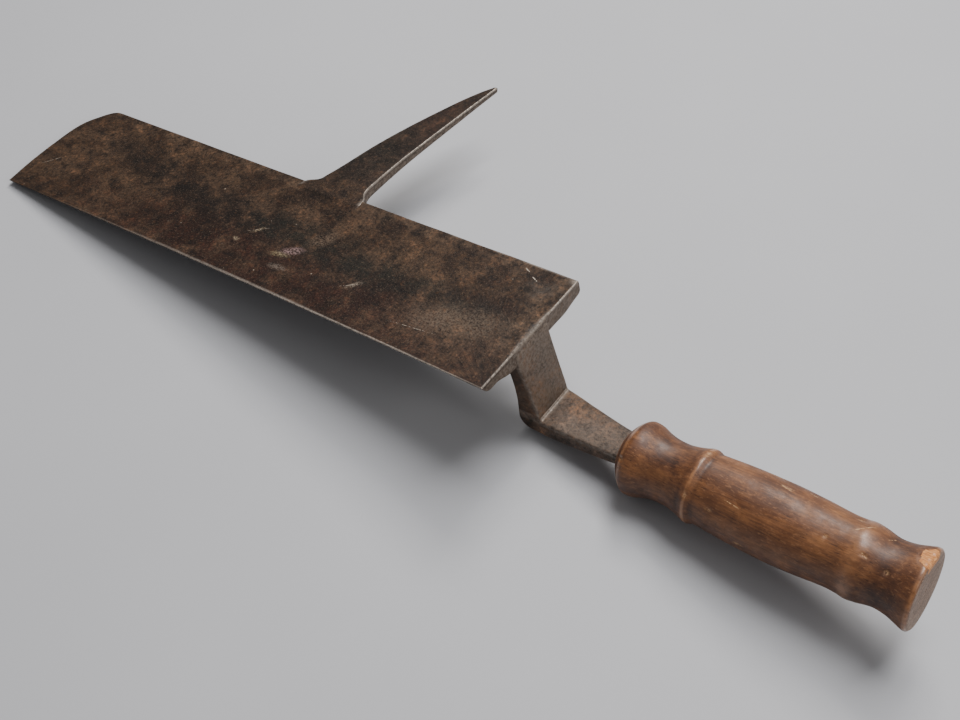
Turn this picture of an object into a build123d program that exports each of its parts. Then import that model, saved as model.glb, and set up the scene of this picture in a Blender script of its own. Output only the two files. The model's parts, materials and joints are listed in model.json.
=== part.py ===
from build123d import *
import os

# A slater's zax: a long straight slate-cutting blade with a nail-hole pick on its back,
# a cranked neck that drops the grip below the blade, and a turned wooden handle.
# Millimetres. It lies at rest on a bench at z = 0: the tip end of the blade and the
# front knob of the handle touch the bench, and the butt is clear of it.
#
# Tool directions: x from the tip to the heel along the cutting edge, y from the cutting
# edge to the back, z up from the flat top face. The tool origin is the heel corner
# of the cutting edge, on the top face.

# ---- how the tool lies ----
lie_pitch = 9.683            # the heel is higher than the tip
lie_roll = 1.233             # the cutting edge is lower than the back
rest_x = 63.96
rest_y = -84.98
rest_z = 54.675

# ---- blade ----
blade_length = 305.0
blade_width = 68.0
tip_bulge = 3.0             # the tip end bows out past a square cut
tip_corner_run = 16.0       # the back corner of the tip end is rounded off
tip_corner_depth = 14.0
tip_corner_inset = 5.6      # how far the middle of that corner is pulled in, both ways
edge_hollow = 0.8           # the cutting edge is worn hollow at mid-length
heel_back_thickness = 8.0
heel_edge_thickness = 4.5
tip_back_thickness = 4.6
tip_edge_thickness = 3.4
bevel_run = 2.6             # steep cutting bevel, ground on the underside only
edge_land = 0.5
back_round = 1.2

# ---- pick on the back ----
pick_root_left = -157.5
pick_root_right = -118.5
pick_weld_depth = 8.0       # how far its root is let into the back of the blade
pick_base_left = -149.5
pick_base_right = -123.2
pick_base_rise = 6.5        # the shoulders die out this far above the back
pick_tip_x = -116.6
pick_reach = 101.5          # from the back of the blade to the point
pick_tip_flat = 1.6
pick_tip_drop = 1.5
pick_root_thickness = 5.6
pick_tip_thickness = 2.6
pick_back_bow = 2.8         # the edge facing the heel stands this far off a straight line
pick_belly_x = -139.5       # a point on the rounded edge facing the tip end
pick_belly_rise = 50.0
pick_upper_x = -131.0
pick_upper_rise = 73.0

# ---- cranked neck and tang ----
neck_root_low = 21.7        # y of its two sides where it leaves the blade
neck_root_high = 44.3
neck_seat_depth = 7.0       # how far its top is let into the heel
neck_bend_radius = 3.0      # rounded outer bend at the heel
neck_drop = 43.2            # top face of the blade down to the top face of the run
neck_crank_x = 3.4
neck_low_side = 24.5        # y of its two sides at the crank
neck_high_side = 46.0
neck_heel_x = -8.0          # rear of the leg at the crank
neck_heel_round = 6.0
neck_run_thickness = 8.6
neck_end_x = 42.0
neck_end_high = 38.8
neck_end_thickness = 6.2
neck_heel_slope = 0.8       # the underside of the run rises this much to the rear
crank_round = 1.2
tang_end_x = 112.0
tang_end_width = 7.0
tang_end_thickness = 4.0

# ---- handle, turned ----
handle_axis_y = 32.33       # its axis where it would cross the heel
handle_axis_z = -47.6
handle_yaw = -1.08          # the grip points slightly to the cutting side
handle_sag = -0.32
handle_front = 42.3
handle_butt = 167.4
front_rim_radius = 11.6
knob_at = 48.4
knob_radius = 16.2
front_cove_at = 62.5
front_cove_radius = 13.1
bead_start = 74.4
bead_foot_radius = 15.0
bead_at = 76.4
bead_radius = 15.7
bead_end = 78.6
groove_radius = 14.95
shoulder_at = 92.0
shoulder_radius = 15.65
grip_at = 109.0
grip_radius = 16.0
waist_at = 136.0
waist_radius = 14.75
ridge_at = 142.6
ridge_radius = 15.35
rear_cove_at = 153.6
rear_cove_radius = 13.6
butt_rim_radius = 16.4
butt_edge_round = 0.8

# ---- the tool's own plane and the sketch planes taken from it ----
level = Plane(origin=(rest_x, rest_y, rest_z), x_dir=(1, 0, 0), z_dir=(0, 0, 1))
tool = level.rotated((lie_roll, -lie_pitch, 0))
along = tool.x_dir
across = tool.y_dir
up = tool.z_dir


def section(x):
    """Plane square to the blade at x; sketch x is tool y, sketch y is tool z."""
    return Plane(origin=tool.from_local_coords((x, 0, 0)), x_dir=across, z_dir=along)


def side(y):
    """Side view plane at y; sketch x is tool x, sketch y is tool z."""
    return Plane(origin=tool.from_local_coords((0, y, 0)), x_dir=along, z_dir=across * -1)


def plan(z):
    """Plan view plane at z; sketch x is tool x, sketch y is tool y."""
    return tool.offset(z)


# ---- tang: the blind end of the neck inside the handle ----
tang_mid_y = (neck_low_side + neck_end_high) / 2
tang_mid_z = -neck_drop - neck_end_thickness / 2
with BuildPart() as tang:
    with BuildSketch(section(neck_end_x)):
        with Locations((tang_mid_y, tang_mid_z)):
            Rectangle(neck_end_high - neck_low_side, neck_end_thickness)
    with BuildSketch(section(tang_end_x)):
        with Locations((tang_mid_y, tang_mid_z)):
            Rectangle(tang_end_width, tang_end_thickness)
    loft()

# ---- cranked neck: drops from the heel, turns, and runs back into the handle ----
with BuildPart() as neck:
    with BuildSketch(side(neck_high_side + 4)):
        with BuildLine():
            Polyline(
                (-neck_seat_depth, 0),
                (-neck_bend_radius, 0),
            )
            RadiusArc((-neck_bend_radius, 0), (0, -neck_bend_radius), neck_bend_radius)
            Polyline(
                (0, -neck_bend_radius),
                (neck_crank_x, -neck_drop),
                (neck_end_x, -neck_drop),
                (neck_end_x, -neck_drop - neck_end_thickness),
                (neck_crank_x + neck_run_thickness, -neck_drop - neck_run_thickness),
                (neck_heel_x, -neck_drop - neck_run_thickness + neck_heel_slope),
                (-neck_seat_depth, 0),
            )
        make_face()
    extrude(amount=neck_high_side - neck_root_low + 12)
    with BuildSketch(section(neck_heel_x - 10)):
        Polygon(
            (neck_root_low, 1),
            (neck_root_high, 1),
            (neck_root_high, -heel_back_thickness),
            (neck_high_side, -neck_drop),
            (neck_high_side, -neck_drop - 20),
            (neck_low_side, -neck_drop - 20),
            (neck_low_side, -neck_drop),
            (neck_root_low, -heel_back_thickness),
            align=None,
        )
    extrude(amount=neck_end_x - neck_heel_x + 20, mode=Mode.INTERSECT)
    with BuildSketch(plan(2)):
        Polygon(
            (neck_heel_x - 10, neck_root_low - 5),
            (neck_end_x + 5, neck_root_low - 5),
            (neck_end_x + 5, neck_end_high - 0.9),
            (neck_end_x, neck_end_high),
            (neck_crank_x + 3, neck_high_side),
            (neck_crank_x, neck_high_side + 5),
            (neck_heel_x - 10, neck_high_side + 5),
            align=None,
        )
    extrude(amount=-neck_drop - 30, mode=Mode.INTERSECT)
    crank_line = neck.edges().filter_by(Axis(tool.origin, across)).sort_by(
        lambda edge: abs(tool.to_local_coords(edge.center()).X - neck_crank_x)
        + abs(tool.to_local_coords(edge.center()).Z + neck_drop)
    )[0]
    fillet(crank_line, crank_round)
    heel_line = neck.edges().filter_by(Axis(tool.origin, across)).sort_by(
        lambda edge: abs(tool.to_local_coords(edge.center()).X - neck_heel_x)
        + abs(tool.to_local_coords(edge.center()).Z + neck_drop + neck_run_thickness)
    )[0]
    fillet(heel_line, neck_heel_round)
    add(tang.part)
neck.part.label = "neck_and_tang"

# ---- pick: root let into the back of the blade, taper, and a blunt point ----
pick_tip_y = blade_width + pick_reach
with BuildPart() as pick:
    with BuildSketch(plan(1)):
        with BuildLine():
            Polyline(
                (pick_base_left, blade_width + pick_base_rise),
                (pick_root_left, blade_width),
                (pick_root_left, blade_width - pick_weld_depth),
                (pick_root_right, blade_width - pick_weld_depth),
                (pick_root_right, blade_width),
                (pick_base_right, blade_width + pick_base_rise),
            )
            Spline(
                (pick_base_right, blade_width + pick_base_rise),
                (pick_base_right + pick_back_bow / 2, blade_width + pick_belly_rise),
                (pick_tip_x + pick_tip_flat / 2, pick_tip_y),
            )
            Line(
                (pick_tip_x + pick_tip_flat / 2, pick_tip_y),
                (pick_tip_x - pick_tip_flat / 2, pick_tip_y - 0.6),
            )
            Spline(
                (pick_tip_x - pick_tip_flat / 2, pick_tip_y - 0.6),
                (pick_upper_x, blade_width + pick_upper_rise),
                (pick_belly_x, blade_width + pick_belly_rise),
                (pick_base_left, blade_width + pick_base_rise),
            )
        make_face()
    extrude(amount=-12)
    with BuildSketch(section(pick_root_left - 10)):
        Polygon(
            (blade_width - pick_weld_depth - 5, 0),
            (blade_width, 0),
            (pick_tip_y + 2, -pick_tip_drop),
            (pick_tip_y + 2, -pick_tip_drop - pick_tip_thickness),
            (blade_width, -pick_root_thickness),
            (blade_width - pick_weld_depth - 5, -pick_root_thickness),
            align=None,
        )
    extrude(amount=pick_root_right - pick_root_left + 30, mode=Mode.INTERSECT)
pick.part.label = "pick"

# ---- blade: wedge section, thinner towards the tip, with a bevel under the edge ----
with BuildPart() as blade:
    with BuildSketch(section(0)):
        Polygon(
            (0, 0),
            (blade_width, 0),
            (blade_width, -heel_back_thickness),
            (bevel_run, -heel_edge_thickness),
            (0, -edge_land),
            align=None,
        )
    with BuildSketch(section(-blade_length - tip_bulge)):
        Polygon(
            (0, 0),
            (blade_width, 0),
            (blade_width, -tip_back_thickness),
            (bevel_run, -tip_edge_thickness),
            (0, -edge_land),
            align=None,
        )
    loft(ruled=True)
    back_edges = blade.edges().sort_by(Axis(tool.origin, across))[-2:]
    fillet(back_edges, back_round)
    with BuildSketch(plan(2)):
        with BuildLine():
            ThreePointArc(
                (-blade_length, 0),
                (-blade_length / 2, edge_hollow),
                (0, 0),
            )
            Polyline(
                (0, 0),
                (0, blade_width),
                (-blade_length + tip_corner_run, blade_width),
            )
            ThreePointArc(
                (-blade_length + tip_corner_run, blade_width),
                (-blade_length + tip_corner_inset, blade_width - tip_corner_inset),
                (-blade_length - tip_bulge / 2, blade_width - tip_corner_depth),
            )
            ThreePointArc(
                (-blade_length - tip_bulge / 2, blade_width - tip_corner_depth),
                (-blade_length - tip_bulge, blade_width / 2),
                (-blade_length, 0),
            )
        make_face()
    extrude(amount=-20, mode=Mode.INTERSECT)
    add(neck.part, mode=Mode.SUBTRACT)
    add(pick.part, mode=Mode.SUBTRACT)
    # the underside of the tip end is worn level where it stands on the bench
    split(bisect_by=Plane.XY, keep=Keep.TOP)
blade.part.label = "blade"

# ---- handle: one turned piece, bored for the tang ----
handle_base = Plane(
    origin=tool.from_local_coords((0, handle_axis_y, handle_axis_z)),
    x_dir=along,
    z_dir=up,
).rotated((0, -handle_sag, handle_yaw))
handle_profile = Plane(origin=handle_base.origin, x_dir=handle_base.x_dir, z_dir=handle_base.y_dir)
with BuildPart() as handle:
    with BuildSketch(handle_profile):
        with BuildLine():
            Polyline(
                (handle_butt, 0),
                (handle_front, 0),
                (handle_front, -front_rim_radius),
            )
            Spline(
                (handle_front, -front_rim_radius),
                (knob_at, -knob_radius),
                tangents=((0, -1), (1, 0)),
            )
            Spline(
                (knob_at, -knob_radius),
                (front_cove_at, -front_cove_radius),
                tangents=((1, 0), (1, 0)),
            )
            Spline(
                (front_cove_at, -front_cove_radius),
                (bead_start, -bead_foot_radius),
                tangents=((1, 0), (1, -0.25)),
            )
            ThreePointArc(
                (bead_start, -bead_foot_radius),
                (bead_at, -bead_radius),
                (bead_end, -groove_radius),
            )
            Spline(
                (bead_end, -groove_radius),
                (shoulder_at, -shoulder_radius),
                (grip_at, -grip_radius),
                (waist_at, -waist_radius),
                tangents=((1, 0), (1, 0)),
            )
            Spline(
                (waist_at, -waist_radius),
                (ridge_at, -ridge_radius),
                tangents=((1, 0), (1, 0)),
            )
            Spline(
                (ridge_at, -ridge_radius),
                (rear_cove_at, -rear_cove_radius),
                tangents=((1, 0), (1, 0)),
            )
            Spline(
                (rear_cove_at, -rear_cove_radius),
                (handle_butt - butt_edge_round, -butt_rim_radius),
                tangents=((1, 0), (1, -0.25)),
            )
            Polyline(
                (handle_butt - butt_edge_round, -butt_rim_radius),
                (handle_butt, -butt_rim_radius + butt_edge_round),
                (handle_butt, 0),
            )
        make_face()
    revolve(axis=Axis(handle_base.origin, handle_base.x_dir))
    add(neck.part, mode=Mode.SUBTRACT)
handle.part.label = "handle"

os.makedirs("parts", exist_ok=True)
export_step(blade.part, "parts/blade.step")
export_step(pick.part, "parts/pick.step")
export_step(neck.part, "parts/neck_and_tang.step")
export_step(handle.part, "parts/handle.step")
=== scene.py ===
import json
import math
import bpy
import bmesh
import numpy as np
from mathutils import Matrix, Quaternion, Vector, noise


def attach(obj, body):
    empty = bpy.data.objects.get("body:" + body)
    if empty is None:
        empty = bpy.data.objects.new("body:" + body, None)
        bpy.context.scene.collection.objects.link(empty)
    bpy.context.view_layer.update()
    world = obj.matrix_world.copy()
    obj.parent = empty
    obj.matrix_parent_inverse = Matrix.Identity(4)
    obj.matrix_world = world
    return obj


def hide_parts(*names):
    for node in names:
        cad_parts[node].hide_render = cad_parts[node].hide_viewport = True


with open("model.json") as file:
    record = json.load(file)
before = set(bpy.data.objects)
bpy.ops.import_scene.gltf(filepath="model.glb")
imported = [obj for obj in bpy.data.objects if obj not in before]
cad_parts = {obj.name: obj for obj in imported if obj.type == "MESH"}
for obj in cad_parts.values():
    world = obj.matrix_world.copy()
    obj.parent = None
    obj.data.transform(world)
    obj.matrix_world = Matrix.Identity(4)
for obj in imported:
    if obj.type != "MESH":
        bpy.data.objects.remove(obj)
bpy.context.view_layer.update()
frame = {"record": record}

# A slater's zax lying on a pale table. The pieces are built in millimetres.
# Blade, pick and neck use the blade's directions: x along the cutting edge, 0 at the heel and
# negative towards the tip end, y from the cutting edge to the back, z up from the flat top face.
# The handle uses its own: x along its axis to the butt, y across to the back, z up.
# Two mounts of the record give the places of both in the frame. Each mesh keeps the coordinates
# it was built in as the attribute "own", which its material reads.

MM = 0.001
TABLE_GAP = 0.00002  # metres of air left under the lowest points

# ---- driving dimensions, as in the CAD model ----
BLADE_LENGTH = 305.0
BLADE_WIDTH = 68.0
EDGE_HOLLOW = 0.8
HEEL_BACK_THICKNESS = 8.0
HEEL_EDGE_THICKNESS = 4.5
TIP_BACK_THICKNESS = 4.6
TIP_EDGE_THICKNESS = 3.4
BEVEL_RUN = 2.6
EDGE_LAND = 0.5
PICK_TIP_DROP = 1.5
PICK_ROOT_THICKNESS = 5.6
PICK_TIP_THICKNESS = 2.6
PICK_END = 169.5
NECK_DROP = 43.2
STRAP_SIDES = (24.5, 38.8)  # y of the strap's two sides where it enters the handle
STRAP_BOTTOM = -49.4  # z of its underside there
HANDLE_FRONT = 42.3
HANDLE_BUTT = 167.4
BLADE_MOUNT_AT = Vector((-60.0, 34.0, 0.0))


def mount(name):
    """Place and outward direction of a mount of the record."""
    for entry in frame["record"]["mounts"]:
        if entry["name"] == name:
            return Vector(entry["pos_m"]), Vector(entry["axis"]).normalized()
    raise KeyError(name)


def turned(origin, along, across, up):
    """Matrix of a body whose own x, y and z point along, across and up."""
    matrix = Matrix((along, across, up)).transposed().to_4x4()
    matrix.translation = origin
    return matrix


face_place, face_up = mount("blade_top_face")
face_across = face_up.cross(Vector((1.0, 0.0, 0.0))).normalized()
face_along = face_across.cross(face_up)
TOOL = turned(Vector(), face_along, face_across, face_up)
TOOL.translation = face_place - TOOL @ (BLADE_MOUNT_AT * MM)

butt_place, handle_along = mount("butt_face")
handle_across = face_up.cross(handle_along).normalized()
handle_up = handle_along.cross(handle_across)
HANDLE = turned(butt_place - handle_along * HANDLE_BUTT * MM, handle_along, handle_across, handle_up)


# ======================================================================
# mesh helpers
# ======================================================================
def smooth_through(points):
    """A smooth function of one value through a few (at, value) points."""
    at = np.array([p[0] for p in points], float)
    value = np.array([p[1] for p in points], float)
    chord = np.diff(value) / np.diff(at)
    slope = np.concatenate(([chord[0]], (chord[1:] + chord[:-1]) / 2, [chord[-1]]))
    turning = np.concatenate(([False], chord[1:] * chord[:-1] <= 0, [False]))
    slope[turning] = 0.0

    def read(x):
        x = np.clip(x, at[0], at[-1])
        i = np.clip(np.searchsorted(at, x, side="right") - 1, 0, len(at) - 2)
        run = at[i + 1] - at[i]
        t = (x - at[i]) / run
        return (
            value[i] * (2 * t**3 - 3 * t**2 + 1)
            + slope[i] * run * (t**3 - 2 * t**2 + t)
            + value[i + 1] * (3 * t**2 - 2 * t**3)
            + slope[i + 1] * run * (t**3 - t**2)
        )

    return read


def step(low, high, x):
    """0 below low, 1 above high, smooth between."""
    t = np.clip((np.asarray(x, float) - low) / (high - low), 0.0, 1.0)
    return t * t * (3 - 2 * t)


def bump_at(x, centre, half):
    """A smooth hump of height 1 at centre that dies out at half either side."""
    t = np.clip(np.abs(np.asarray(x, float) - centre) / half, 0.0, 1.0)
    return (1 - t * t) ** 2


def waves(points, size, seed, stretch=(1.0, 1.0, 1.0)):
    """Smooth noise between about -1 and 1 at each point; size is in millimetres."""
    scaled = points * np.array(stretch) / size + seed
    return np.array([noise.noise(Vector(p)) for p in scaled])


def graded(length, pitch, fine):
    """Distances from 0 to length, at the fine list's spacing near both ends."""
    fine = np.array(fine)
    count = max(2, int(round((length - 2 * fine[-1]) / pitch)))
    middle = np.linspace(fine[-1], length - fine[-1], count + 1)
    return np.concatenate((fine[:-1], middle, (length - fine[:-1])[::-1]))


def lofted(rings):
    """Quads between neighbouring closed rings of one length."""
    n = len(rings[0])
    points = np.concatenate(rings)
    faces = []
    for i in range(len(rings) - 1):
        for k in range(n):
            a = i * n + k
            b = i * n + (k + 1) % n
            faces.append((a, b, b + n, a + n))
    return points, faces


def strip_cap(points, faces, ring_start, n, rows):
    """Closes a ring by rows of quads between point k and point n - 1 - k."""
    columns = []
    made = []
    for k in range(1, n // 2 - 1):
        a = ring_start + k
        b = ring_start + n - 1 - k
        column = [a]
        for row in range(1, rows):
            column.append(len(points) + len(made))
            made.append(points[a] + (points[b] - points[a]) * row / rows)
        column.append(b)
        columns.append(column)
    for left, right in zip(columns, columns[1:]):
        for row in range(rows):
            faces.append((left[row], right[row], right[row + 1], left[row + 1]))
    middle = ring_start + n // 2
    faces.append((ring_start + n - 1, ring_start, *columns[0]))
    faces.append((middle - 1, middle, *columns[-1][::-1]))
    return np.concatenate((points, np.array(made)))


def add_piece(name, points, faces, place, node, masks):
    """Makes a closed, smooth piece from millimetre points and puts it in place of a CAD node.

    Where the piece stands on the table it is worn level.
    """
    mesh = bpy.data.meshes.new(name)
    turn = np.array(place.to_3x3())
    laid = points * MM @ turn.T + np.array(place.translation)
    laid[:, 2] = np.maximum(laid[:, 2], TABLE_GAP)
    mesh.from_pydata(laid.tolist(), [], faces)
    own = mesh.attributes.new("own", "FLOAT_VECTOR", "POINT")
    own.data.foreach_set("vector", points.astype(np.float32).ravel())
    for mask, values in masks.items():
        layer = mesh.attributes.new(mask, "FLOAT", "POINT")
        layer.data.foreach_set("value", np.asarray(values, np.float32))
    work = bmesh.new()
    work.from_mesh(mesh)
    bmesh.ops.recalc_face_normals(work, faces=work.faces)
    for face in work.faces:
        face.smooth = True
    work.to_mesh(mesh)
    work.free()
    piece = bpy.data.objects.new(name, mesh)
    bpy.context.scene.collection.objects.link(piece)
    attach(piece, "root")
    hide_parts(node)
    return piece


# ======================================================================
# blade
# ======================================================================
# x of the tip end at each y: a shallow bow, then the clipped and rounded back corner
tip_outline = smooth_through([
    (0, -305.3), (17, -307.4), (36, -308.0), (49.5, -307.1), (55.5, -304.9),
    (60, -302.0), (64, -299.2), (66.6, -296.0), (67.6, -292.6), (BLADE_WIDTH, -288.0),
])
# thickness of the heel's end at each y: thin at the edge, thick beside the neck
heel_thickness = smooth_through([
    (0, 0.6), (BEVEL_RUN, 4.6), (10, 6.0), (18, 8.8), (24, 9.0),
    (45, 9.0), (55, 9.3), (63, 8.2), (BLADE_WIDTH, 7.2),
])


def make_blade():
    """Rings across the blade, from the tip end to the heel, then wear pushed into them."""
    rounding = 1.2
    tip_radius, heel_radius, low_radius = 0.9, 0.7, 0.9
    heel_blend = 26.0  # the plain wedge turns into the heel's section over this length
    neck_bow_at = 34.0  # y at which the heel bends most into the neck
    flats = graded(BLADE_WIDTH - rounding, 0.95, [0, 0.2, 0.5, 0.9, 1.5, 2.6, 3.4])
    turn = np.linspace(0, math.pi / 2, 6)[1:]
    side_rows = np.array([0.15, 0.38, 0.62, 0.85])
    stations = graded(BLADE_LENGTH, 1.0, [0, 0.06, 0.2, 0.45, 0.8, 1.3, 2.0, 3.0])
    rings = []
    for d in stations:
        x_share = d / BLADE_LENGTH
        y_top = np.concatenate((flats, BLADE_WIDTH - rounding + rounding * np.sin(turn)))
        z_top = np.concatenate((0 * flats, -rounding * (1 - np.cos(turn))))
        back = TIP_BACK_THICKNESS + (HEEL_BACK_THICKNESS - TIP_BACK_THICKNESS) * x_share
        edge = TIP_EDGE_THICKNESS + (HEEL_EDGE_THICKNESS - TIP_EDGE_THICKNESS) * x_share
        plain = edge + (back - edge) * y_top / BLADE_WIDTH
        bevel = EDGE_LAND + (plain - EDGE_LAND) * y_top / BEVEL_RUN
        plain = np.where(y_top < BEVEL_RUN, bevel, plain)
        near_heel = step(BLADE_LENGTH - heel_blend, BLADE_LENGTH, d)
        thick = plain + (heel_thickness(y_top) - plain) * near_heel
        z_low = -thick + np.concatenate((0 * flats, rounding * (1 - np.cos(turn))))
        # the two ends are rounded over; the heel more where the neck bends into it
        from_heel = BLADE_LENGTH - d
        neck_bow = bump_at(y_top, neck_bow_at, 17)
        radius = np.where(d < BLADE_LENGTH / 2, tip_radius, heel_radius + 2.3 * neck_bow)
        reach = np.minimum(min(d, from_heel), radius)
        inset = radius - np.sqrt(np.clip(radius**2 - (radius - reach) ** 2, 0, None))
        low_reach = min(d, from_heel, low_radius)
        low_inset = low_radius - math.sqrt(low_radius**2 - (low_radius - low_reach) ** 2)
        # under half the thickness, so that the top and the underside never cross
        room = 0.42 * (z_top - z_low)
        z_top = z_top - np.minimum(inset, room)
        z_low = z_low + np.minimum(low_inset, room)
        y_side = np.full(len(side_rows), BLADE_WIDTH)
        z_side = z_top[-1] + (z_low[-1] - z_top[-1]) * side_rows
        y = np.concatenate((y_top, y_side, y_top[::-1]))
        z = np.concatenate((z_top, z_side, z_low[::-1]))
        x = tip_outline(y) * (1 - x_share)
        rings.append(np.stack((x, y, z), axis=1))
    n = len(rings[0])
    points, faces = lofted(rings)
    points = strip_cap(points, faces, 0, n, 4)
    points = strip_cap(points, faces, (len(rings) - 1) * n, n, 8)
    x, y, z = points.T
    share = np.clip(1 - y / BLADE_WIDTH, 0, 1)
    # the cutting edge is worn hollow and slightly nicked; the back wanders a little
    line = np.stack((x, 0 * x, 0 * x), axis=1)
    hollow = EDGE_HOLLOW * np.clip(1 - ((x + BLADE_LENGTH / 2) / (BLADE_LENGTH / 2)) ** 2, 0, 1)
    nicks = 0.28 * np.clip(waves(line, 5.0, 3.7) - 0.25, 0, 1) + 0.05 * waves(line, 1.6, 9.1)
    near_edge = np.exp(-y / 4.0) * step(0, 6, -x) * step(0, 6, x + BLADE_LENGTH)
    wander = 0.22 * waves(line, 21.0, 5.5) * step(40, BLADE_WIDTH, y) * step(0, 12, -x)
    moved_y = y + hollow * share + nicks * near_edge + wander
    # hammered, gently uneven faces
    upper = z > -0.6
    swell = 0.16 * waves(points, 38.0, 1.3, (1, 1.6, 0)) + 0.05 * waves(points, 9.0, 7.9, (1, 1, 0))
    under = 0.25 * waves(points, 30.0, 11.3, (1, 1.4, 0)) + 0.08 * waves(points, 8.0, 2.9, (1, 1, 0))
    inside = step(0, 6, y) * step(0, 5, BLADE_WIDTH - y)
    inside = inside * step(0, 6, -x) * step(0, 6, x + BLADE_LENGTH - 4)
    moved_z = z + np.where(upper, swell - 0.16, under) * inside
    # the heel's end face is filed by hand
    on_end = step(0.8, 0.1, -x)
    moved_x = x - 0.22 * on_end * (waves(points, 6.0, 6.1, (0, 1, 1)) + 1) * step(0.3, 1.5, -z)
    points = np.stack((moved_x, moved_y, moved_z), axis=1)
    # wear: bright along the cutting edge, the heel's top edge and patches of the back, with a painted
    # highlight where the heel's edge bends into the neck
    patchy = 0.5 + 0.5 * waves(points, 14.0, 21.0)
    fine = 0.5 + 0.5 * waves(points, 2.2, 31.0)
    edge_wear = step(0.30, 0.0, y - hollow) * step(-300, -50, x)
    edge_wear = edge_wear * (0.20 + 0.35 * fine + 0.35 * patchy)
    heel_line = step(0.75, 0.2, -x) * step(1.1, 0.3, -z) * (0.6 + 0.4 * patchy)
    # painted highlight: a broad bright band on the heel's top edge over the neck's bend
    heel_bend_highlight = bump_at(y, neck_bow_at, 19) * step(1.7, 0.5, -x) * step(2.0, 0.8, -z)
    heel_line = np.maximum(heel_line, heel_bend_highlight * (0.4 + 0.6 * fine))
    heel_line = heel_line * (0.75 + 0.25 * step(12, 30, y))
    back_line = 0.5 * step(1.7, 0.6, BLADE_WIDTH - y) * step(-1.6, -0.2, z)
    back_line = back_line * step(0.45, 0.8, patchy) * step(-125, -95, x)
    tip_line = 0.35 * step(1.3, 0.3, x - tip_outline(y)) * step(-1.4, -0.3, z)
    tip_line = tip_line * step(0.35, 0.7, fine)
    corner = bump_at(np.hypot(x, y - BLADE_WIDTH), 0, 5) * step(-2.2, -0.8, z) * 0.5
    wear_and_highlight = np.clip(np.max((edge_wear, heel_line, back_line, tip_line, corner), axis=0), 0, 1)
    # paler heel end face: filed steel, and painted light on a face turned to the butt side
    paler_and_lit = step(1.2, 0.2, -x) * step(0.8, 2.0, -z)
    return add_piece("zax_blade", points, faces, TOOL, "blade",
                     {"wear_and_highlight": wear_and_highlight, "paler_and_lit": paler_and_lit})


# ======================================================================
# pick
# ======================================================================
def rounded_box(left, right, top, bottom, radius, crown, across_count, side_count):
    """A closed ring in two coordinates: top left to right, down, bottom back, and up.

    The corners have a radius, and the top rises by crown in the middle.
    """
    turn = np.linspace(0, math.pi / 2, 5)
    u = np.linspace(0, 1, across_count + 2)[1:-1]
    v = np.linspace(0, 1, side_count + 2)[1:-1]
    inner_left, inner_right = left + radius, right - radius
    inner_top, inner_bottom = top - radius, bottom + radius
    parts = [
        (inner_left + (inner_right - inner_left) * u, top + crown * (1 - (2 * u - 1) ** 2)),
        (inner_right + radius * np.sin(turn), inner_top + radius * np.cos(turn)),
        (np.full(side_count, right), inner_top + (inner_bottom - inner_top) * v),
        (inner_right + radius * np.cos(turn), inner_bottom - radius * np.sin(turn)),
        (inner_right + (inner_left - inner_right) * u, np.full(across_count, bottom)),
        (inner_left - radius * np.sin(turn), inner_bottom - radius * np.cos(turn)),
        (np.full(side_count, left), inner_bottom + (inner_top - inner_bottom) * v),
        (inner_left - radius * np.cos(turn), inner_top + radius * np.sin(turn)),
    ]
    return np.concatenate([p[0] for p in parts]), np.concatenate([p[1] for p in parts])


def fan_cap(points, faces, ring_start, n):
    """Closes a ring by triangles to its middle."""
    middle = points[ring_start:ring_start + n].mean(axis=0)
    centre = len(points)
    for k in range(n):
        faces.append((ring_start + k, ring_start + (k + 1) % n, centre))
    return np.concatenate((points, [middle]))


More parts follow.
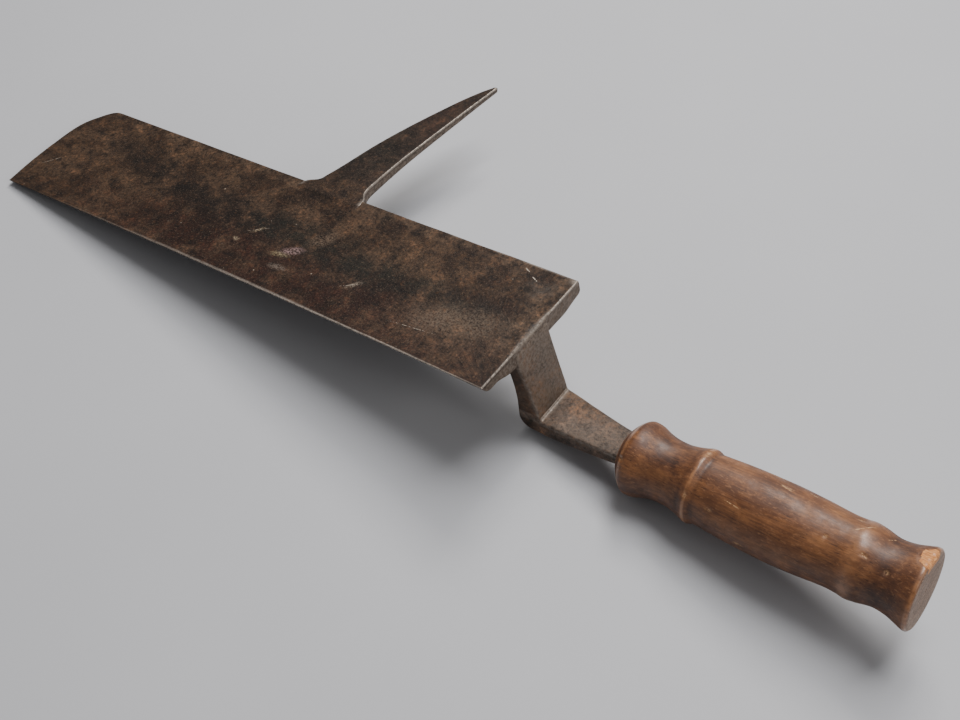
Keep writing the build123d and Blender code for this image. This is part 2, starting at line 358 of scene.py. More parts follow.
def make_pick():
    """Rings across the pick, from its root inside the blade to its blunted point."""
    # x of the side towards the blade's tip end, and of the side towards its heel, at each y
    tip_side = smooth_through([
        (59, -157.6), (66, -157.4), (68.6, -155.8), (71.2, -151.6), (76, -149.6),
        (107, -142.3), (141, -130.9), (162, -121.7), (PICK_END, -117.1),
    ])
    heel_side = smooth_through([
        (59, -119.0), (66, -118.9), (69, -119.9), (72, -122.3), (78, -123.4),
        (100, -122.8), (135, -119.6), (PICK_END, -115.9),
    ])
    root_at, spread_end = 59.5, 80
    point_radius = 1.3
    root_rows = np.arange(root_at, spread_end, 0.6)
    shank_rows = np.arange(spread_end, PICK_END - 1.0, 0.9)
    point_rows = PICK_END - np.array([0.9, 0.6, 0.35, 0.15, 0.04])
    rings = []
    for y in np.concatenate((root_rows, shank_rows, point_rows)):
        out = max(0.0, y - BLADE_WIDTH) / (PICK_END - BLADE_WIDTH)
        top = -PICK_TIP_DROP * out + 0.12 * step(60, 64, y) - 0.5 * step(64, root_at, y)
        thick = PICK_ROOT_THICKNESS + (PICK_TIP_THICKNESS - PICK_ROOT_THICKNESS) * out
        left, right = float(tip_side(y)), float(heel_side(y))
        radius = min(0.65 - 0.2 * out, 0.45 * (right - left))
        into_point = max(0.0, y - PICK_END + point_radius)
        blunt = point_radius - math.sqrt(max(0.0, point_radius**2 - into_point**2))
        blunt = min(blunt, 0.46 * (right - left), 0.46 * thick)
        radius = max(0.05, min(radius, 0.5 * (right - left) - blunt - 0.02))
        ring_x, ring_z = rounded_box(left + blunt, right - blunt, float(top) - blunt,
                                     float(top) - thick + blunt, radius, 0.22 * (1 - out), 22, 5)
        rings.append(np.stack((ring_x, np.full(len(ring_x), y), ring_z), axis=1))
    n = len(rings[0])
    points, faces = lofted(rings)
    points = fan_cap(points, faces, 0, n)
    points = fan_cap(points, faces, (len(rings) - 1) * n, n)
    x, y, z = points.T
    out = np.clip((y - BLADE_WIDTH) / (PICK_END - BLADE_WIDTH), 0, 1)
    hammer = 0.13 * waves(points, 11.0, 4.4) + 0.05 * waves(points, 3.5, 8.8)
    depth = step(60, 70, y) * (1 - 0.7 * out)
    x = x + hammer * depth * 0.8
    z = z + (0.13 * waves(points, 13.0, 14.4) + 0.04 * waves(points, 4.0, 18.8) - 0.1) * depth
    points = np.stack((x, y, z), axis=1)
    top = -PICK_TIP_DROP * out
    fine = 0.5 + 0.5 * waves(points, 2.0, 51.0)
    right_edge = 0.85 * step(0.6, 0.2, heel_side(y) - x) * step(-1.2, -0.4, z - top)
    left_edge = 0.28 * step(1.0, 0.2, x - tip_side(y)) * step(-1.4, -0.5, z - top)
    left_edge = left_edge * step(0.4, 0.8, fine)
    strength = step(66, 72, y) * (0.65 + 0.35 * fine)
    # the root's corners show as short pale lines in the blade's top
    from_side = np.minimum(heel_side(y) - x, x - tip_side(y))
    lap = 0.55 * step(1.1, 0.3, from_side) * step(63.5, 65.5, y) * step(70, 67, y)
    lap = lap * step(-0.9, -0.3, z)
    wear_and_highlight = np.clip(np.max((right_edge * strength, left_edge, lap), axis=0), 0, 1)
    # paler side face of the pick towards the heel: painted light on a face turned to the butt side
    paler_and_lit = step(0.8, 0.2, heel_side(y) - x) * step(-0.9, -1.6, z - top) * step(69, 74, y)
    return add_piece("zax_pick", points, faces, TOOL, "pick",
                     {"wear_and_highlight": wear_and_highlight, "paler_and_lit": paler_and_lit})


# ======================================================================
# neck and tang
# ======================================================================
def make_neck():
    """Rings that walk down the leg, round the crank and along the run into the handle."""
    crank_x, crank_z, crank_radius = 3.4, -NECK_DROP, 0.9
    crease_x = crank_x + 0.1
    lean_from = 3.0  # depth under the blade's top at which the leg's front starts to lean
    end_x, tang_x = 42.0, 112.0
    strap_low, strap_high = STRAP_SIDES
    # the leg, by z: y of its two sides, and x of its rear
    low_side = smooth_through([(-60, 24.5), (-45, 25.0), (-27, 24.3), (-8, 22.0), (0, 21.7)])
    high_side = smooth_through([(-60, 46.0), (-43, 46.0), (-25, 45.0), (-7, 44.2), (0, 44.2)])
    leg_rear = smooth_through([(-46, -8.3), (-34, -7.1), (-19, -6.7), (-1, -6.9)])
    # the run and the tang, by x: z of the underside and the top, and y of the two sides
    run_bottom = smooth_through([
        (-2, -50.6), (6, -51.8), (12, -51.6), (30, -50.5), (end_x, STRAP_BOTTOM), (tang_x, -48.4),
    ])
    run_top = smooth_through([(4, -NECK_DROP), (end_x, -NECK_DROP), (tang_x, -44.2)])
    run_high = smooth_through([(0, 46.0), (4, 45.8), (20, 42.7), (end_x, strap_high), (tang_x, 35.2)])
    run_low = smooth_through([(0, 24.8), (6, 24.5), (end_x, strap_low), (tang_x, 28.2)])
    # each ring's front and rear as (x, z), and its two sides in y
    pairs = []
    for z in np.linspace(-1.0, crank_z + crank_radius * 0.8, 46):
        lean = crease_x * max(0.0, -z - lean_from) / (NECK_DROP - lean_from)
        front = (-0.9 + 0.9 * step(-1, -4.5, z) + lean, z)
        rear = (float(leg_rear(z)), z)
        pairs.append((front, rear, (float(low_side(z)), float(high_side(z)))))
    # the heel of the crank is rounded on the outside and creased inside
    outer_centre, outer_radius = (-2.1, -45.2), 6.0
    for share in np.linspace(0.06, 0.94, 16):
        angle = math.pi + share * math.pi * 0.46
        inner_angle = math.pi + share * math.pi / 2
        front = (crease_x + crank_radius * (1 + math.cos(inner_angle)),
                 crank_z + crank_radius * (1 + math.sin(inner_angle)))
        rear = (outer_centre[0] + outer_radius * math.cos(angle),
                outer_centre[1] + outer_radius * math.sin(angle))
        low = float(low_side(crank_z)) * (1 - share) + float(run_low(crank_x)) * share
        high = float(high_side(crank_z)) * (1 - share) + float(run_high(crank_x)) * share
        pairs.append((front, rear, (low, high)))
    run_rows = np.arange(5.6, end_x + 6, 0.8)
    tang_rows = np.linspace(end_x + 8, tang_x, 24)
    for x in np.concatenate((run_rows, tang_rows)):
        trail = 4.5 * step(crank_x + 14, crank_x, x)
        front = (x, float(run_top(x)))
        rear = (x - trail, float(run_bottom(x - trail)))
        pairs.append((front, rear, (float(run_low(x)), float(run_high(x)))))
    rings = []
    for front, rear, (low, high) in pairs:
        front, rear = np.array(front), np.array(rear)
        depth = float(np.linalg.norm(front - rear))
        ring_y, ring_d = rounded_box(low, high, 0.0, -depth, min(0.8, depth * 0.2), 0.12, 20, 6)
        spot = front + (front - rear) / depth * ring_d[:, None]
        rings.append(np.stack((spot[:, 0], ring_y, spot[:, 1]), axis=1))
    n = len(rings[0])
    points, faces = lofted(rings)
    points = fan_cap(points, faces, 0, n)
    points = fan_cap(points, faces, (len(rings) - 1) * n, n)
    hammer = np.stack([
        0.09 * waves(points, 12.0, seed) + 0.04 * waves(points, 3.0, seed + 3)
        for seed in (2.2, 5.1, 8.4)
    ], axis=1)
    hammer[:, 0] *= step(2, 8, -points[:, 2])
    in_view = step(50, 38, points[:, 0]) * step(1, 6, -points[:, 2])
    points = points + hammer * in_view[:, None]
    x, y, z = points.T
    fine = 0.5 + 0.5 * waves(points, 1.8, 61.0)
    # painted highlight: a pale line along the inner crease of the crank
    on_crank = np.hypot(x - crank_x - 0.5, z - crank_z - 0.5)
    crease_highlight = step(0.85, 0.35, on_crank) * (0.20 + 0.35 * fine)
    on_leg = z > crank_z + 2
    sides = np.where(on_leg, np.minimum(y - low_side(z), high_side(z) - y),
                     np.minimum(y - run_low(x), run_high(x) - y))
    # the face turned to the butt on the leg, and the top of the run, which also carry painted light
    front_face = np.where(on_leg, step(-2.6, -1.0, x - crank_x * (-z - 3) / 40),
                          step(-46.0, -44.4, z))
    corners = 0.35 * step(0.7, 0.15, sides) * front_face * step(0.2, 0.9, fine)
    wear_and_highlight = np.clip(np.maximum(crease_highlight, corners), 0, 1)
    # painted light: the leg's face turned to the butt and the top of the run are made paler
    paler_and_lit = front_face * np.where(on_leg, 0.75 + 0.25 * step(22, 5, -z), 0.32)
    return add_piece("zax_neck", points, faces, TOOL, "neck_and_tang",
                     {"wear_and_highlight": wear_and_highlight, "paler_and_lit": paler_and_lit})


# ======================================================================
# handle
# ======================================================================
# radius at each x: knob, cove, bead, grip, ridge, cove and flared butt
FRONT_FLAT, BUTT_FLAT = 10.4, 15.4
handle_radius = smooth_through([
    (HANDLE_FRONT, FRONT_FLAT), (43.4, 12.1), (45.4, 14.4), (48.4, 16.1), (51.2, 15.8), (55.5, 14.3),
    (60, 13.35), (64.5, 13.15), (69, 13.75), (73.2, 14.9), (75.2, 15.62), (76.6, 15.75), (78.0, 15.35),
    (79.2, 14.85), (81.5, 15.0), (92, 15.7), (110, 16.02), (122, 15.6), (136, 14.75), (139.5, 14.95),
    (142.8, 15.35), (146.2, 14.95), (153.5, 13.62), (158.5, 14.2), (163.5, 15.75), (165.6, 16.35),
    (166.6, 16.25), (HANDLE_BUTT, BUTT_FLAT),
])
# dents in the wood: x, degrees from the top towards the back, half length, half width, depth
DENTS = (
    (110, 22, 3.6, 0.8, 0.25), (131, -23, 1.0, 0.9, 0.3), (138.5, 33, 1.6, 1.0, 0.3),
    (155, -34, 1.2, 1.2, 0.3), (146, -25, 1.6, 0.7, 0.3), (96, 70, 3.0, 1.2, 0.3),
    (120, 150, 5.0, 1.5, 0.3), (87, -60, 2.0, 0.8, 0.2), (101, -95, 2.5, 1.0, 0.3),
    (46.2, -46, 1.6, 1.1, 0.7), (76.6, 20, 1.2, 2.4, 0.35), (76.4, -55, 1.0, 1.8, 0.3),
)
# the chip out of the butt's rim, in the same terms
CHIP = (HANDLE_BUTT - 1.2, 16, 4.6, 6.4, 1.1)


def polar(points):
    """Distance from the handle's axis, and angle from straight up, positive to the back."""
    return np.hypot(points[:, 1], points[:, 2]), np.degrees(np.arctan2(points[:, 1], points[:, 2]))


def widened(points, grow):
    """Points moved away from the handle's axis, each to grow times its distance."""
    return points * np.stack((np.ones(len(points)), grow, grow), axis=1)


def dent(points, at, angle, length, width, depth):
    """Pushes the surface in, in a small oval; also gives the oval as a mask."""
    radius, turn = polar(points)
    arc = np.radians((turn - angle + 180) % 360 - 180) * radius
    inside = np.clip(1 - ((points[:, 0] - at) / length) ** 2 - (arc / width) ** 2, 0, 1)
    push = depth * inside**0.7
    return widened(points, 1 - push / radius), inside


def make_handle():
    """Rings from the slot's floor out over the front, along the profile and over the butt."""
    count = 168
    turn = np.linspace(0, 2 * math.pi, count, endpoint=False)
    circle = np.stack((np.sin(turn), np.cos(turn)), axis=1)
    rings = []

    def add_ring(x, outline):
        rings.append(np.column_stack((np.full(count, x), outline)))

    # the slot that the tang goes into, a little larger than the strap
    to_handle = HANDLE.inverted() @ TOOL
    corners = [
        to_handle @ (Vector((HANDLE_FRONT, y, z)) * MM) / MM
        for y in STRAP_SIDES
        for z in (-NECK_DROP, STRAP_BOTTOM)
    ]
    middle = sum(corners, Vector()) / 4
    half_wide = (STRAP_SIDES[1] - STRAP_SIDES[0]) / 2
    half_high = (-NECK_DROP - STRAP_BOTTOM) / 2
    gap = 0.45
    box_scale = np.maximum(np.abs(circle[:, 0]) / (half_wide + gap),
                           np.abs(circle[:, 1]) / (half_high + gap))
    slot_ring = circle / box_scale[:, None] + np.array([middle.y, middle.z])
    for deep in (9.0, 6.0, 3.0, 1.0, 0.35):
        add_ring(HANDLE_FRONT + deep, slot_ring)
    for share in np.linspace(0, 1, 9):
        add_ring(HANDLE_FRONT - 0.05 + 0.1 * (1 - share) ** 6,
                 slot_ring * (1 - share) + circle * (FRONT_FLAT - 0.4) * share)
    for x in graded(HANDLE_BUTT - HANDLE_FRONT, 0.62, [0, 0.12, 0.3, 0.55, 0.85]) + HANDLE_FRONT:
        add_ring(x, circle * float(handle_radius(x)))
    for share in (0.97, 0.9, 0.8, 0.65, 0.5, 0.35, 0.2, 0.08):
        add_ring(HANDLE_BUTT + 0.02 * (1 - share), circle * (BUTT_FLAT - 0.2) * share)
    points, faces = lofted(rings)
    points = fan_cap(points, faces, 0, count)
    points = fan_cap(points, faces, (len(rings) - 1) * count, count)
    start = points.copy()
    radius = polar(start)[0]
    outside = step(10.2, 12.0, radius)
    # turned by eye and worn by the hand: slow unevenness, tool marks, dents
    uneven = 0.16 * waves(points, 26.0, 3.3) + 0.04 * waves(points, 5.0, 12.0, (0.5, 1, 1))
    ripple = 0.018 * np.sin(points[:, 0] * 5.1 + 2 * waves(points, 30.0, 41.0))
    grow = 1 + (uneven + ripple - 0.05) * outside / np.maximum(radius, 1)
    points = widened(points, grow)
    fresh = np.zeros(len(points))
    for placing in DENTS:
        points, mark = dent(points, *placing)
        fresh = np.maximum(fresh, mark * 0.75)
    # the chip has a torn border and splinters
    points, chip = dent(points, *CHIP)
    torn = np.clip(chip + 0.5 * waves(start, 2.3, 77.0) - 0.12, 0, 1)
    chip = torn * step(0, 0.2, chip) * step(12.4, 13.4, radius)
    splinter = 0.6 * waves(points, 0.9, 71.0, (0.25, 1, 1)) * step(0.05, 0.3, chip)
    points = widened(points, 1 + splinter / np.maximum(radius, 1))
    # masks: painted shade in the coves, the grooves beside the bead and on the underside; rubbed rims, with
    # painted highlights on the knob's crest and the rear ridge; end grain
    x = start[:, 0]
    # painted shade: the coves (hollow), the grooves beside the bead (groove) and the underside (below) are
    # darkened
    hollow = step(15.4, 13.4, radius) * step(11.5, 12.5, radius)
    groove = np.maximum(bump_at(x, 79.4, 1.6), 0.6 * bump_at(x, 73.2, 2.0)) * outside
    below = step(-0.35, 0.75, (-start[:, 2] - 0.45 * start[:, 1]) / 16)
    dark = np.clip(0.9 * hollow + groove + 0.75 * below * outside, 0, 1)
    # rubbed rims, with painted highlights: the line on the knob's crest and the band on the rear ridge
    rims = np.max((
        0.9 * bump_at(x, 76.3, 1.0), 0.9 * bump_at(x, 45.9, 1.3),
        0.8 * bump_at(x, 166.4, 1.3), 0.45 * bump_at(x, 142.6, 4.5),
    ), axis=0) * outside
    end_grain = np.maximum(step(HANDLE_BUTT - 0.35, HANDLE_BUTT - 0.05, x),
                           0.6 * step(HANDLE_FRONT + 0.5, HANDLE_FRONT + 0.1, x))
    chip = step(0.02, 0.25, chip)
    return add_piece("zax_handle", points, faces, HANDLE, "handle",
                     {"chip": chip, "mark": np.clip(fresh, 0, 1), "dark": dark, "wear_and_highlight": rims,
                      "end_grain": end_grain * (1 - chip)})


# ======================================================================
# materials
# ======================================================================
class Shader:
    """A material's node tree, with short calls for the nodes used here. Sizes are millimetres."""

    def __init__(self, name):
        self.material = bpy.data.materials.new(name)
        self.material.use_nodes = True
        self.tree = self.material.node_tree
        self.tree.nodes.clear()
        self.coords = self.node("ShaderNodeAttribute", attribute_name="own").outputs["Vector"]
        self.torn = None  # each material's own noise, which frays the rims of its blotches

    def node(self, kind, inputs=None, **settings):
        """A node with its settings; an input is a value or another node's socket."""
        made = self.tree.nodes.new(kind)
        for name, value in settings.items():
            setattr(made, name, value)
        for socket, value in (inputs or {}).items():
            if isinstance(value, bpy.types.NodeSocket):
                self.tree.links.new(value, made.inputs[socket])
            else:
                made.inputs[socket].default_value = value
        return made

    def place(self, centre=(0, 0, 0), size=(1, 1, 1), turn=0.0):
        """Coordinates that are 0 at centre and 1 at one size away."""
        return self.node("ShaderNodeMapping", {
            "Vector": self.coords,
            "Location": centre,
            "Rotation": (0, 0, turn),
            "Scale": size,
        }, vector_type="TEXTURE").outputs[0]

    def noise(self, size, detail=4.0, rough=0.55, stretch=(1, 1, 1), distortion=0.0):
        """Noise with features of about one size, longer by stretch in each direction."""
        at = self.place(size=[size * s for s in stretch])
        return self.node("ShaderNodeTexNoise", {"Vector": at, "Scale": 1.0, "Detail": detail,
                                                "Roughness": rough, "Distortion": distortion}).outputs["Fac"]

    def cells(self, size):
        """Distance from the nearest of many scattered spots, as a share of their spacing."""
        at = self.place(size=(size, size, size))
        return self.node("ShaderNodeTexVoronoi", {"Vector": at, "Scale": 1.0}).outputs["Distance"]

    def math(self, operation, a, b=0.0):
        return self.node("ShaderNodeMath", {0: a, 1: b}, operation=operation).outputs[0]

    def times(self, a, b):
        return self.math("MULTIPLY", a, b)

    def spread(self, value, low, high, to_low=0.0, to_high=1.0):
        """to_low where value is at low, to_high where it is at high, smooth between."""
        return self.node("ShaderNodeMapRange", {
            "Value": value, "From Min": low, "From Max": high, "To Min": to_low, "To Max": to_high,
        }, interpolation_type="SMOOTHSTEP").outputs[0]

    def mix(self, share, a, b, blend="MIX"):
        """Colour a covered by colour b to a share; a plain colour is a tuple."""
        colours = {0: share}
        for socket, value in ((6, a), (7, b)):
            colours[socket] = (*value, 1.0) if isinstance(value, tuple) else value
        return self.node("ShaderNodeMix", colours, data_type="RGBA", blend_type=blend).outputs[2]

    def ramp(self, value, stops):
        """A colour for each value, from (value, colour) stops."""
        made = self.node("ShaderNodeValToRGB", {0: value})
        while len(made.color_ramp.elements) < len(stops):
            made.color_ramp.elements.new(0.5)
        for element, (at, colour) in zip(made.color_ramp.elements, stops):
            element.position = at
            element.color = (*colour, 1.0)
        return made.outputs[0]

    def mask(self, name):
        """A mask that the mesh carries."""
        return self.node("ShaderNodeAttribute", attribute_name=name).outputs["Fac"]

    def blotch(self, centre, size, ragged, turn, soft, deep=40.0):
        """A ragged oval patch reaching deep above and below its centre: 1 inside, 0 outside."""
        at = self.place(centre, (*size, deep), turn)
        far = self.node("ShaderNodeVectorMath", {0: at}, operation="LENGTH").outputs["Value"]
        fray = self.times(self.math("SUBTRACT", self.torn, 0.5), ragged * 2)
        return self.spread(self.math("ADD", far, fray), 1.0 + soft, 1.0 - soft)

    def scratch(self, start, end, width):
        """A thin straight scratch between two places in x and y, on the upper side only."""
        run = (end[0] - start[0], end[1] - start[1])
        middle = ((start[0] + end[0]) / 2, (start[1] + end[1]) / 2, 0)
        at = self.place(middle, (math.hypot(*run) / 2, width, 30.0), math.atan2(run[1], run[0]))
        apart = self.node("ShaderNodeSeparateXYZ", {0: at})
        ends = self.spread(self.math("ABSOLUTE", apart.outputs[0]), 1.0, 0.5)
        thin = self.spread(self.math("ABSOLUTE", apart.outputs[1]), 1.0, 0.3)
        above = self.spread(apart.outputs[2], -0.05, 0.0)
        return self.times(self.times(ends, thin), above)

    def bump(self, height, distance, strength=1.0, over=None):
        """A normal bent by height, on top of another normal if one is given."""
        inputs = {"Height": height, "Distance": distance * MM, "Strength": strength}
        if over is not None:
            inputs["Normal"] = over
        return self.node("ShaderNodeBump", inputs).outputs[0]

    def finish(self, **inputs):
        """Ends the tree in a Principled shader; an underscore stands for a space."""
        names = {key.replace("_", " "): value for key, value in inputs.items()}
        shader = self.node("ShaderNodeBsdfPrincipled", names)
        out = self.node("ShaderNodeOutputMaterial")
        self.tree.links.new(shader.outputs[0], out.inputs["Surface"])
        return self.material


# colours of old steel
SCALE_BLACK = (0.008, 0.006, 0.005)
SCALE_BROWN = (0.009, 0.006, 0.005)
RUST_TAN = (0.165, 0.112, 0.072)
RUST = (0.098, 0.046, 0.020)
PIT_DARK = (0.012, 0.008, 0.007)
# paler filed steel, also painted light on faces turned to the butt side
PALER_AND_LIT = (0.205, 0.160, 0.125)
DUST = (0.62, 0.52, 0.40)
SCRATCHED = (0.55, 0.47, 0.38)
# bright worn steel, also the colour of painted highlights
WORN_AND_HIGHLIGHT = (0.58, 0.50, 0.42)
LIGHTER_BLOT = (2.1, 1.85, 1.65)
LIGHTER_FRECKLE = (2.1, 1.9, 1.7)


def steel(name, tan, brown, patches, smudges=(), scratches=(), speck_share=0.5):
    """Old forged steel: mottled brown patina, pits, dark and light patches, bright worn edges with painted
    highlights, paler faces partly painted light.

    Patches and smudges are (centre, size, turn, share, colour), scratches (start, end, width).
    """
    s = Shader(name)
    s.torn = s.noise(11.0, 10.0, 0.78)
    cloud = s.noise(27.0, 9.0, 0.66, distortion=0.4)
    colour = s.mix(s.spread(cloud, 0.44, 0.57), brown, tan)
    broken = s.spread(s.noise(9.0, 7.0, 0.7), 0.40, 0.58, 0.25, 1.0)
    for centre, size, turn, share, shade in patches:
        covered = s.times(s.times(s.blotch(centre, size, 2.2, turn, 0.7), broken), share)
        colour = s.mix(covered, colour, shade)
    # mottling at three sizes, each with lighter and darker spots
    blots = s.noise(6.5, 8.0, 0.72)
    freckle = s.noise(1.5, 6.0, 0.74)
    speckle = s.noise(0.80, 2.0, 0.6)
    covered = s.spread(blots, 0.51, 0.64, 0.0, 0.75)
    colour = s.mix(covered, colour, s.mix(1.0, colour, LIGHTER_BLOT, "MULTIPLY"))
    colour = s.mix(s.spread(blots, 0.48, 0.38, 0.0, 0.70), colour, SCALE_BLACK)
    covered = s.spread(freckle, 0.52, 0.64, 0.0, 0.70)
    colour = s.mix(covered, colour, s.mix(1.0, colour, LIGHTER_FRECKLE, "MULTIPLY"))
    colour = s.mix(s.spread(freckle, 0.48, 0.38, 0.0, 0.65), colour, SCALE_BROWN)
    colour = s.mix(s.spread(speckle, 0.58, 0.70, 0.0, 0.38), colour, RUST_TAN)
    colour = s.mix(s.spread(speckle, 0.40, 0.30, 0.0, 0.40), colour, SCALE_BROWN)
    rust = s.times(s.spread(s.noise(3.4, 6.0, 0.7), 0.58, 0.70), 0.55)
    colour = s.mix(rust, colour, RUST)
    # pits
    pit = s.spread(s.cells(2.3), 0.22, 0.10)
    pit = s.times(pit, s.spread(s.noise(12.0, 3.0), 0.48, 0.62))
    colour = s.mix(s.times(pit, 0.5), colour, PIT_DARK)
    # paler surfaces such as the filed end faces; on these faces turned to the butt side the paler colour is
    # also painted light
    paler_and_lit = s.times(s.mask("paler_and_lit"), s.spread(s.noise(1.4, 5.0, 0.75), 0.40, 0.60, 0.30, 0.95))
    colour = s.mix(paler_and_lit, colour, PALER_AND_LIT)
    # pale specks of dust, over soft smudges
    fleck = s.spread(s.cells(7.5), 0.058, 0.034)
    fleck = s.times(fleck, s.spread(s.noise(22.0, 2.0), 0.50, 0.60, 0.0, speck_share))
    for centre, size, turn, share, shade in smudges:
        grain = s.spread(s.noise(0.9, 3.0, 0.7), 0.40, 0.60)
        patch = s.blotch(centre, size, 1.2, turn, 0.7, deep=1.5)
        colour = s.mix(s.times(s.times(patch, grain), share * 0.75), colour, shade)
    colour = s.mix(fleck, colour, DUST)
    lines = None
    for start, end, width in scratches:
        line = s.times(s.scratch(start, end, width), s.spread(s.noise(0.8, 2.0), 0.42, 0.60))
        lines = line if lines is None else s.math("MAXIMUM", lines, line)
    if lines is not None:
        colour = s.mix(lines, colour, SCRATCHED)
    # worn bright edges, and painted highlights on the heel's bend into the neck and in the neck's crease
    worn = s.times(s.mask("wear_and_highlight"), s.spread(s.noise(1.1, 4.0, 0.7), 0.32, 0.58, 0.25, 1.0))
    colour = s.mix(worn, colour, WORN_AND_HIGHLIGHT)
    metal = s.spread(worn, 0.0, 1.0, 0.08, 0.95)
    rough = s.math("ADD", s.spread(freckle, 0.3, 0.7, 0.42, 0.60), s.times(worn, -0.16))
    heights = s.math("ADD", s.times(freckle, 0.9), s.times(speckle, 0.35))
    heights = s.math("SUBTRACT", heights, s.times(pit, 0.8))
    normal = s.bump(s.noise(7.0, 5.0, 0.65), 0.40, 0.55)
    normal = s.bump(heights, 0.22, 0.8, over=normal)
    return s.finish(Base_Color=colour, Metallic=metal, Roughness=rough, Normal=normal,
                    Specular_IOR_Level=0.20)


# colours of the handle's wood
WOOD_DEEP = (0.060, 0.021, 0.009)
WOOD_LIGHT = (0.350, 0.148, 0.052)
STREAK_DARK = (0.048, 0.017, 0.008)
STREAK_LIGHT = (0.350, 0.150, 0.054)
PORE = (0.020, 0.008, 0.005)
WOOD_FLECK = (0.400, 0.190, 0.085)
# multiplied in as painted shade in the coves, the grooves and underneath
SHADE_TINT = (0.30, 0.25, 0.25)
DIRT_SPOT = (0.040, 0.018, 0.010)
# rubbed wood, also the colour of the painted highlights on the knob's crest and the rear ridge
RUBBED_AND_HIGHLIGHT = (0.400, 0.185, 0.080)
RING_DARK = (0.085, 0.055, 0.038)
WOOD_MARKED = (0.560, 0.330, 0.160)
# from place, to place and width of each scratch, in the handle's x and y
WOOD_SCRATCHES = (
    ((106.8, 6.5), (112.5, 4.8), 0.32), ((137.6, 0.2), (144.9, 7.2), 0.28),
    ((144.6, -5.6), (147.6, -6.8), 0.35), ((90, -9), (99, -10), 0.22),
    ((117, 9.5), (121, 9.0), 0.25), ((150, 4), (153, 7), 0.22),
)


def wood(name):
    """Turned hardwood, reddish brown and polished by hands."""
    s = Shader(name)
    s.torn = s.noise(5.0, 5.0, 0.6)
    cloud = s.noise(17.0, 4.0, 0.55, (2.4, 1, 1), 0.5)
    streak = s.noise(1.3, 5.0, 0.65, (14, 1, 1), 0.6)
    fibre = s.noise(0.42, 3.0, 0.6, (22, 1, 1))
    colour = s.ramp(cloud, [
        (0.30, (0.085, 0.030, 0.012)),
        (0.48, (0.165, 0.062, 0.022)),
        (0.62, (0.250, 0.100, 0.036)),
        (0.78, (0.330, 0.142, 0.052)),
    ])
    mottle = s.noise(4.2, 6.0, 0.7, (2.0, 1, 1))
    colour = s.mix(s.spread(mottle, 0.52, 0.40, 0.0, 0.32), colour, WOOD_DEEP)
    colour = s.mix(s.spread(mottle, 0.52, 0.64, 0.0, 0.50), colour, WOOD_LIGHT)
    colour = s.mix(s.spread(streak, 0.38, 0.60, 0.38, 0.0), colour, STREAK_DARK)
    colour = s.mix(s.spread(streak, 0.56, 0.74, 0.0, 0.30), colour, STREAK_LIGHT)
    pores = s.times(s.spread(fibre, 0.42, 0.31), 0.65)
    colour = s.mix(pores, colour, PORE)
    flecks = s.times(s.spread(s.noise(0.7, 3.0, 0.6, (3, 1, 1)), 0.56, 0.68), 0.40)
    colour = s.mix(flecks, colour, WOOD_FLECK)
    # painted shade: darker in the coves, the grooves beside the bead and on the underside
    painted_shade = s.times(s.mask("dark"), s.spread(s.noise(6.0, 4.0, 0.6), 0.30, 0.62, 0.95, 0.35))
    colour = s.mix(painted_shade, colour, s.mix(1.0, colour, SHADE_TINT, "MULTIPLY"))
    spots = s.times(s.spread(s.noise(2.4, 5.0, 0.7), 0.60, 0.72), 0.55)
    colour = s.mix(spots, colour, DIRT_SPOT)
    # rubbed, lighter crests, and painted highlights along the knob's crest and on the rear ridge
    rubbed_and_highlight = s.times(s.mask("wear_and_highlight"), s.spread(s.noise(3.0, 4.0, 0.6), 0.34, 0.60, 0.25, 0.9))
    colour = s.mix(rubbed_and_highlight, colour, RUBBED_AND_HIGHLIGHT)
    # end grain of the butt and the front
    open_pores = s.noise(0.7, 3.0, 0.6, (30, 1, 1))
    rings = s.noise(2.4, 3.0, 0.55, (60, 2.4, 0.6), 0.4)
    cut_wood = s.ramp(open_pores, [
        (0.30, (0.110, 0.065, 0.042)),
        (0.55, (0.330, 0.215, 0.150)),
        (0.75, (0.480, 0.345, 0.255)),
    ])
    cut_wood = s.mix(s.spread(rings, 0.40, 0.60, 0.45, 0.0), cut_wood, RING_DARK)
    end = s.mask("end_grain")
    colour = s.mix(s.spread(end, 0.2, 0.7), colour, cut_wood)
    # dents and scratches that show paler wood, and the fresh chip
    marks = s.times(s.mask("mark"), s.spread(s.noise(0.8, 3.0, 0.7), 0.42, 0.58, 0.1, 1.0))
    for scratched in WOOD_SCRATCHES:
        line = s.times(s.scratch(*scratched), s.spread(s.noise(1.1, 2.0), 0.36, 0.55))
        marks = s.math("MAXIMUM", marks, line)
    colour = s.mix(marks, colour, WOOD_MARKED)
    fresh_wood = s.ramp(s.noise(0.55, 4.0, 0.7, (7, 1, 1)), [
        (0.30, (0.260, 0.080, 0.020)),
        (0.50, (0.600, 0.235, 0.065)),
        (0.70, (0.780, 0.420, 0.170)),
    ])
    chip = s.spread(s.mask("chip"), 0.35, 0.6)
    colour = s.mix(chip, colour, fresh_wood)
    bare = s.math("MAXIMUM", s.math("MAXIMUM", chip, marks), end)
    rough = s.math("ADD", s.spread(s.torn, 0.3, 0.7, 0.44, 0.62), s.times(bare, 0.20))
    rough = s.math("SUBTRACT", rough, s.times(s.mask("wear_and_highlight"), 0.30))
    grain_height = s.math("ADD", s.times(fibre, 0.8), s.times(streak, 0.5))
    grain_height = s.math("SUBTRACT", grain_height, s.times(marks, 0.6))
    normal = s.bump(s.noise(4.0, 3.0, 0.5, (2, 1, 1)), 0.30, 0.35)
    normal = s.bump(grain_height, 0.10, 0.6, over=normal)
    polish = s.spread(s.mask("wear_and_highlight"), 0.0, 0.5, 0.05, 0.30)
    return s.finish(Base_Color=colour, Roughness=rough, Normal=normal, Coat_Weight=polish,
                    Coat_Roughness=0.24)


